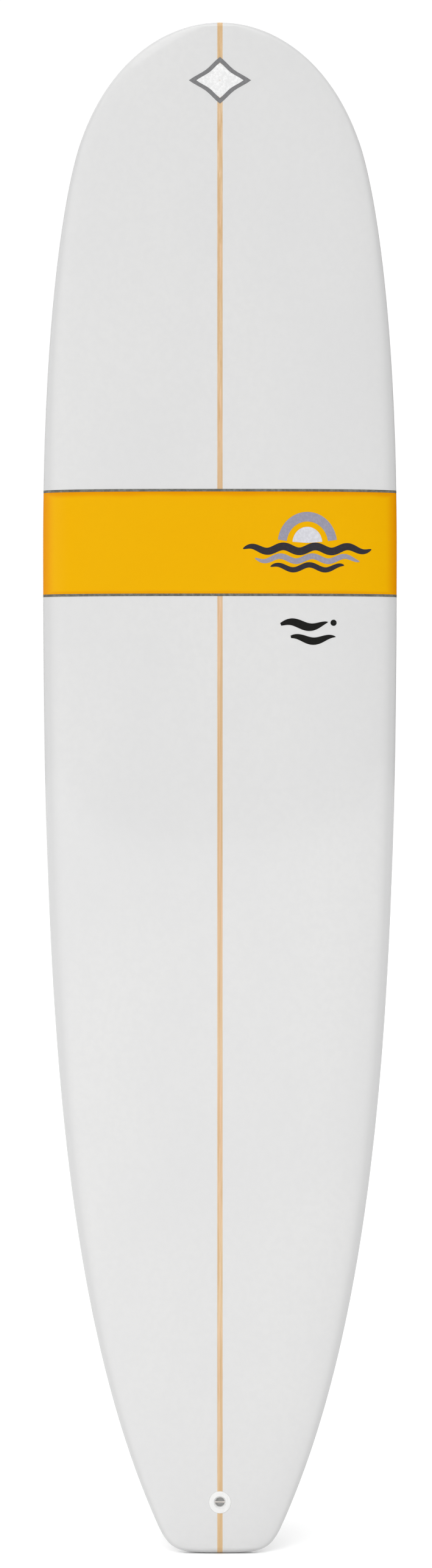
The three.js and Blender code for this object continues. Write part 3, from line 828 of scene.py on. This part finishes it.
def add_fin_box():
    edge = 0.0005
    outer = [stadium(BOX_LENGTH, BOX_WIDTH, -BOX_DEPTH, 28)]
    top = []
    for grow, drop_by in ((0, edge), (0.3 * edge, 0.12 * edge), (edge, 0)):
        ring = stadium(BOX_LENGTH - 2 * grow, BOX_WIDTH - 2 * grow, 0, 28)
        top.append(box_face(ring, BOX_PROUD - drop_by))
    lip = []
    for grow, drop_by in ((edge, 0), (0.3 * edge, 0.12 * edge), (0, edge)):
        ring = stadium(SLOT_LENGTH + 2 * grow, SLOT_WIDTH + 2 * grow, 0, 28)
        lip.append(box_face(ring, BOX_PROUD - drop_by))
    walls = [
        stadium(SLOT_LENGTH, SLOT_WIDTH, -GROOVE_TOP, 28),
        stadium(SLOT_LENGTH, GROOVE_WIDTH, -GROOVE_TOP, 28),
        stadium(SLOT_LENGTH, GROOVE_WIDTH, -GROOVE_BOTTOM, 28),
        stadium(SLOT_LENGTH, SLOT_WIDTH, -GROOVE_BOTTOM, 28),
        stadium(SLOT_LENGTH, SLOT_WIDTH, -SLOT_DEPTH, 28),
    ]
    box = mesh_object("fin_box", *loft(outer + top + lip + walls), LOOKS["fin_box_plastic"], BOX_PLACE)
    notch = mesh_object(
        "cut_notch", *prism(rectangle(GROOVE_WIDTH, NOTCH_LENGTH, 0.0012), -GROOVE_TOP - 0.001, 0.006),
        matrix=BOX_PLACE,
    )
    combine(box, "DIFFERENCE", notch)
    drop(notch)
    finish_piece(box, BOARD, "fin_box_plastic", "centre_fin_box")


def blade(leading, trailing, depth, root, thickness, tip_thickness, flat_inside=False, rows=64, sides=72):
    """A fin's blade, root to tip along Y: the curves give its edges as [z, y] points."""
    front_line = bezier(leading, 300)
    rear_line = np.concatenate([bezier(curve, 200) for curve in trailing])
    angle = (np.arange(sides) + 0.5) * 2 * math.pi / sides
    bulge = np.sin(angle) * (1 + 0.25 * np.cos(angle))
    rings = []
    for k in range(rows + 1):
        y = (depth - 0.0001) * math.sin(k * math.pi / (2 * rows))
        front = np.interp(y, front_line[:, 1], front_line[:, 0])
        rear = np.interp(y, rear_line[:, 1], rear_line[:, 0])
        full = thickness + (tip_thickness - thickness) * (y / depth)
        half = min(full, 0.4 * (front - rear)) / 2
        if flat_inside:
            x = 2 * half * np.maximum(0, bulge) - thickness / 2
            x += 0.06 * half * np.minimum(0, bulge)
        else:
            x = half * bulge
        z = (front + rear) / 2 + (front - rear) / 2 * np.cos(angle)
        rings.append(np.stack([x, np.full(sides, max(y, root)), z], axis=-1))
    return loft(rings)


def add_centre_fin():
    leading = [(FIN_FRONT, 0), (0.048, 0.078), (0.006, FIN_DEPTH), (-0.112, FIN_DEPTH)]
    trailing = [
        [(FIN_REAR, 0), (-0.078, 0.052), (-0.084, 0.122), (-0.124, 0.166)],
        [(-0.124, 0.166), (-0.130, 0.174), (-0.124, FIN_DEPTH), (-0.112, FIN_DEPTH)],
    ]
    points, faces = blade(leading, trailing, FIN_DEPTH, 0.0002, FIN_THICKNESS, FIN_TIP_THICKNESS)
    fin = mesh_object("fin_blade", points, faces, LOOKS["fin_plastic"], BOX_PLACE)
    length, middle = FIN_FRONT - FIN_REAR, (FIN_FRONT + FIN_REAR) / 2
    outline = rectangle(FIN_THICKNESS, length, 0.0016, middle=middle)
    base = mesh_object("add_base", *prism(outline, -FIN_BASE_DEPTH, 0.0006, 0.0003), matrix=BOX_PLACE)
    length = TONGUE_FRONT - FIN_FRONT + 0.006
    outline = rectangle(FIN_THICKNESS, length, 0.0016, middle=TONGUE_FRONT - length / 2)
    tongue = mesh_object("add_tongue", *prism(outline, -TONGUE_BOTTOM, -TONGUE_TOP, 0.0003), matrix=BOX_PLACE)
    combine(fin, "UNION", base, tongue)
    pin_place = BOX_PLACE @ Matrix.Translation((0, -PIN_DEPTH, FIN_REAR + PIN_INSET))
    pin_hole = mesh_object("cut_pin", *bar_along_x(PIN_RADIUS + SEAM, 0.02, 0.0001), matrix=pin_place)
    rings = [circle(SCREW_HOLE, y, 48) for y in (-0.02, 0.006)]
    screw_hole = mesh_object("cut_screw", *loft(rings), matrix=SCREW_PLACE)
    combine(fin, "DIFFERENCE", pin_hole, screw_hole)
    drop(base, tongue, pin_hole, screw_hole)
    finish_piece(fin, "centre_fin", "fin_plastic", "centre_fin", angle=28)
    pin = mesh_object("roll_pin", *bar_along_x(PIN_RADIUS, PIN_LENGTH, 0.0004), LOOKS["brass"], pin_place)
    finish_piece(pin, "centre_fin", "brass", "centre_fin_pin")


def add_screw_and_plate():
    profile = soften([
        (0.0004, -SCREW_TIP), (SCREW_RADIUS, -SCREW_TIP), (SCREW_RADIUS, -SCREW_HEAD_BOTTOM),
        (SCREW_HEAD, -SCREW_HEAD_BOTTOM), (SCREW_HEAD, -SCREW_HEAD_TOP), (0.0004, -SCREW_HEAD_TOP),
    ], 0.0005)
    screw = mesh_object("fin_screw", *lathe(profile, 64), LOOKS["stainless"], SCREW_PLACE)
    cut = prism(rectangle(0.010, 0.0010, 0.0001), -SCREW_HEAD_TOP - 0.0012, 0.003)
    slot = mesh_object("cut_slot", *cut, matrix=SCREW_PLACE)
    combine(screw, "DIFFERENCE", slot)
    finish_piece(screw, "centre_fin_screw", "stainless", "centre_fin_screw")
    outline = rectangle(PLATE_WIDTH, PLATE_LENGTH, 0.0012)
    square = prism(outline, -PLATE_TOP - PLATE_THICKNESS, -PLATE_TOP, 0.0003)
    plate = mesh_object("plate_nut", *square, LOOKS["stainless"], SCREW_PLACE)
    bore = loft([circle(SCREW_HOLE, y, 48) for y in (-0.02, 0.0)])
    hole = mesh_object("cut_plate", *bore, matrix=SCREW_PLACE)
    combine(plate, "DIFFERENCE", hole)
    drop(slot, hole)
    finish_piece(plate, "centre_fin_plate", "stainless", "centre_fin_plate")


# --- Side fins, plugs and grub screws ------------------------------------------------------------


def add_side_fin(label, inboard, place):
    """A fin with two tabs; inboard is the sign of the way to the centre line along the fin's own X."""
    leading = [(SIDE_HALF, 0), (0.036, 0.036), (0.010, SIDE_DEPTH), (-0.056, SIDE_DEPTH)]
    trailing = [
        [(-SIDE_HALF, 0), (-0.040, 0.026), (-0.046, 0.062), (-0.066, 0.082)],
        [(-0.066, 0.082), (-0.070, 0.086), (-0.066, SIDE_DEPTH), (-0.056, SIDE_DEPTH)],
    ]
    points, faces = blade(
        leading, trailing, SIDE_DEPTH, SIDE_LIFT, SIDE_THICKNESS, SIDE_TIP_THICKNESS, True, 48, 64,
    )
    points = points * [-inboard, 1, 1]  # the blade's flat face is turned to the board's centre line
    fin = mesh_object(f"side_blade_{label}", points, faces, LOOKS["fin_plastic"], place)
    tabs = [
        mesh_object(
            "add_tab", *prism(rectangle(TAB_WIDTH, TAB_LENGTH, 0.0008, middle=way * TAB_SPACING / 2),
                              -TAB_DEPTH, SIDE_LIFT + 0.001, 0.0004),
            matrix=place,
        )
        for way in (-1, 1)
    ]
    combine(fin, "UNION", *tabs)
    drop(*tabs)
    finish_piece(fin, f"side_fin_{label}", "fin_plastic", f"side_fin_{label}", angle=28)


def grub_place(inboard):
    turn = Matrix.Rotation(-inboard * math.radians(GRUB_TILT), 4, "Z")
    return Matrix.Translation((inboard * GRUB_ACROSS, 0, 0)) @ turn


def add_plug(name, inboard, place):
    profile = soften([
        (PLUG_RADIUS / 2, -PLUG_DEPTH), (PLUG_RADIUS, -PLUG_DEPTH), (PLUG_RADIUS, PLUG_PROUD),
        (PLUG_RADIUS / 2, PLUG_PROUD),
    ], 0.0005)
    plug = mesh_object(name + "_barrel", *lathe(profile, 96), LOOKS["plug_plastic"], place)
    cut = prism(rectangle(PLUG_SLOT_WIDTH, PLUG_SLOT_LENGTH, 0.0009), -PLUG_SLOT_DEPTH, 0.004)
    slot = mesh_object("cut_tab", *cut, matrix=place)
    screw_place = place @ grub_place(inboard)
    bore = loft([circle(GRUB_HOLE, y, 48) for y in (-GRUB_HOLE_DEPTH, 0.004)])
    hole = mesh_object("cut_grub", *bore, matrix=screw_place)
    combine(plug, "DIFFERENCE", slot, hole)
    finish_piece(plug, BOARD, "plug_plastic", name + "_plug")
    profile = soften([
        (0.0004, -GRUB_SUNK - GRUB_LENGTH), (GRUB_RADIUS, -GRUB_SUNK - GRUB_LENGTH),
        (GRUB_RADIUS, -GRUB_SUNK), (0.0004, -GRUB_SUNK),
    ], 0.0003)
    screw = mesh_object(name + "_set_screw", *lathe(profile, 48), LOOKS["stainless"], screw_place)
    hexagon = loft([circle(SOCKET_RADIUS, y, 6) for y in (-GRUB_SUNK - SOCKET_DEPTH, 0.003)])
    socket = mesh_object("cut_socket", *hexagon, matrix=screw_place)
    combine(screw, "DIFFERENCE", socket)
    drop(slot, hole, socket)
    finish_piece(screw, name + "_grub_screw", "stainless", name + "_grub_screw")


# --- Printed marks: plain shapes of no maker ------------------------------------------------------

MARK_THICKNESS = 0.00016


def mark(name, x, z, material, slot):
    """A thin printed film on the deck over a grid of x and z."""
    outer = on_deck(x, z, MARK_THICKNESS)
    inner = on_deck(x, z, -MARK_THICKNESS)
    return finish_piece(mesh_object(name, *slab(outer, inner), material), BOARD, slot)


def stroke(name, x, z, width, material, slot):
    """A brush line through x and z points, width wide at each point."""
    line = np.stack([np.asarray(x, float), np.asarray(z, float)], axis=-1)
    run = np.gradient(line, axis=0)
    aside = np.stack([-run[:, 1], run[:, 0]], axis=-1) / np.linalg.norm(run, axis=-1, keepdims=True)
    across = np.linspace(-0.5, 0.5, 5)[None, :]
    half = np.broadcast_to(np.asarray(width, float), (len(line),))[:, None]
    return mark(
        name, line[:, :1] + aside[:, :1] * half * across, line[:, 1:] + aside[:, 1:] * half * across,
        material, slot,
    )


def ring_film(name, centre, outer, inner, start, end, material, slot, steps=72):
    """A band of an ellipse between two pairs of radii, from one angle to another."""
    angle = np.radians(np.linspace(start, end, steps + 1))[:, None]
    share = np.linspace(0, 1, 4)[None, :]
    rx = inner[0] + (outer[0] - inner[0]) * share
    rz = inner[1] + (outer[1] - inner[1]) * share
    return mark(name, centre[0] + rx * np.cos(angle), centre[1] + rz * np.sin(angle), material, slot)


def add_nose_mark():
    """A lozenge outline with a pale middle, across the stringer."""
    centre, wide, high = 2.4665, 0.052, 0.0385
    corners = [(wide, 0), (0, high), (-wide, 0), (0, -high)]
    loop = np.array(corners + corners[:1])
    share = np.linspace(0, 1, 9)
    sides = [loop[i] * (1 - t) + loop[i + 1] * t for i in range(4) for t in share[:-1]]
    path = np.array(sides + [loop[0]])
    hollow = 1 - 0.10 * np.sin(np.linspace(0, 4 * math.pi, len(path))) ** 2
    path = path * hollow[:, None]
    layers = np.linspace(0.76, 1.0, 5)[None, :]
    mark("nose_lozenge", path[:, :1] * layers, centre + path[:, 1:] * layers, SLATE_INK, "dark_resin")
    layers = np.linspace(0.02, 0.75, 6)[None, :]
    mark("nose_lozenge_fill", path[:, :1] * layers, centre + path[:, 1:] * layers, WHITE_INK, "white_glass")


def add_band_badge():
    """A low sun over three swells."""
    x, z = 0.1468, 1.6983
    ring_film("badge_sun_rim", (x, z - 0.004), (0.050, 0.054), (0.035, 0.038), 8, 172, GREY_INK, "dark_resin")
    ring_film("badge_sun", (x, z - 0.002), (0.025, 0.027), (0.0005, 0.0005), 4, 176, SILVER_INK,
              "dark_resin", 40)
    t = np.linspace(-1, 1, 81)
    for k, (reach, level, width, material) in enumerate((
        (0.108, -0.0120, 0.0130, DARK_INK),
        (0.088, -0.0285, 0.0095, GREY_INK),
        (0.062, -0.0430, 0.0090, DARK_INK),
    )):
        wave = 0.0042 * np.sin(t * reach / 0.108 * 4 * math.pi + 0.6 * k)
        taper = width * np.sqrt(np.clip(1 - t**4, 0.01, 1))
        stroke(f"badge_swell_{k + 1}", x + reach * t, z + level + wave, taper, material, "dark_resin")


def add_rear_mark():
    """Two short black brush strokes, like a breaking wave, and a drop."""
    x, z = 0.149, 1.5463
    t = np.linspace(0, 1, 49)
    body = 0.0140 * np.sin(math.pi * np.clip(t * 0.93 + 0.07, 0, 1)) ** 0.7
    stroke("rear_wave_upper", x - 0.047 + 0.080 * t, z + 0.013 + 0.0045 * np.sin(2.4 * math.pi * t), body,
           BLACK_INK, "dark_resin")
    stroke("rear_wave_lower", x - 0.030 + 0.076 * t, z - 0.011 + 0.004 * np.sin(2.4 * math.pi * t + 0.9),
           0.9 * body, BLACK_INK, "dark_resin")
    ring_film("rear_wave_drop", (x + 0.042, z + 0.016), (0.0052, 0.0052), (0.0002, 0.0002), 0, 357, BLACK_INK,
              "dark_resin", 32)


# --- Stage, light and camera ---------------------------------------------------------------------


def add_floor():
    size, level = 60.0, -0.0002
    corners = [(-size, -size, level), (size, -size, level), (size, size, level), (-size, size, level)]
    look = Look("floor", (0.97, 0.97, 0.97), Roughness=0.85, Specular_IOR_Level=0.1)
    look.drive(Base_Color=look.mix(look.noise(1.5, 2), (0.965, 0.965, 0.965), (0.975, 0.975, 0.975)))
    floor = mesh_object("floor", corners, [[0, 1, 2, 3]], look.material)


# Along a direction's axis, a factor of the light from there: (axis, from, to, factor at from, factor at to).
RING_LIGHT = (
    ("Y", -0.86, -0.5, 0.1, 0.82),  # dim straight in front of the deck
    ("Y", -0.1, 0.45, 1.0, 0.65),  # weaker behind the board
    ("X", -0.9, -0.3, 0.45, 1.0),  # weaker far out on the left
    ("X", -0.3, 0.6, 1.0, 0.02),  # almost none from the right
)


def add_world():
    """White to the eye; as light it is a soft ring, dim in front of the board and on its right."""
    world = bpy.data.worlds.new("studio")
    SCENE.world = world
    world.use_nodes = True
    tree = world.node_tree
    tree.nodes.clear()
    coordinates = add_node(tree, "TexCoord").outputs["Generated"]
    direction = add_node(tree, "SeparateXYZ", {"Vector": coordinates}).outputs
    level = 1.0
    for axis, start, end, low, high in RING_LIGHT:
        factor = add_node(tree, "MapRange", {
            "Value": direction[axis], "From Min": start, "From Max": end, "To Min": low, "To Max": high,
        }).outputs["Result"]
        level = add_node(tree, "Math", {0: level, 1: factor}, operation="MULTIPLY").outputs[0]
    light = add_node(tree, "Background", {"Color": (1, 1, 1, 1), "Strength": level}).outputs[0]
    seen = add_node(tree, "Background", {"Color": (1, 1, 1, 1), "Strength": 1.05}).outputs[0]
    share = add_node(tree, "LightPath").outputs["Is Camera Ray"]
    mixed = add_node(tree, "MixShader", {0: share, 1: light, 2: seen})
    add_node(tree, "OutputWorld", {"Surface": mixed.outputs[0]})


def add_sun(name, towards, strength, spread):
    """A very wide soft light; spread is its width in degrees."""
    lamp = bpy.data.lights.new(name, "SUN")
    lamp.energy = strength
    lamp.angle = math.radians(spread)
    obj = bpy.data.objects.new(name, lamp)
    obj.rotation_euler = Vector(towards).to_track_quat("-Z", "Y").to_euler()
    SCENE.collection.objects.link(obj)


def add_lights():
    add_world()
    add_sun("overhead", towards=(0, -0.12, -1.0), strength=2.6, spread=130)
    add_sun("key", towards=(0.1, 0.8, -0.6), strength=1.1, spread=50)


def add_camera():
    distance, aside, eye_level = 6.5, -0.0066, 1.2911
    seen_height = 2.6345  # at the board's own plane
    lens = bpy.data.cameras.new("camera")
    lens.sensor_fit = "VERTICAL"
    lens.sensor_height = 24.0
    lens.sensor_width = 64.0  # not used by this upright frame, but other views stand back less for it
    lens.lens = lens.sensor_height * distance / seen_height
    camera = bpy.data.objects.new("camera", lens)
    camera.location = (aside, -distance, eye_level)
    camera.rotation_euler = (math.pi / 2, 0, 0)
    SCENE.collection.objects.link(camera)
    SCENE.camera = camera


# --- Build ---------------------------------------------------------------------------------------

for slot, material in LOOKS.items():
    for part in frame["record"]["subparts"]:
        if part["material_slot"] == slot:
            frame["nodes"][part["node"]].data.materials.clear()
            frame["nodes"][part["node"]].data.materials.append(material)

add_camera()
add_shell()
add_stringer()
add_core()
add_leash_plug()
add_fin_box()
add_centre_fin()
add_screw_and_plate()
for side in SIDES:
    add_side_fin(*side)
for fitting in PLUGS:
    add_plug(*fitting)
drop(*[cutter for group in CUTTERS.values() for cutter in group])
add_nose_mark()
add_band_badge()
add_rear_mark()
add_floor()
add_lights()
SCENE.view_settings.view_transform = "Standard"
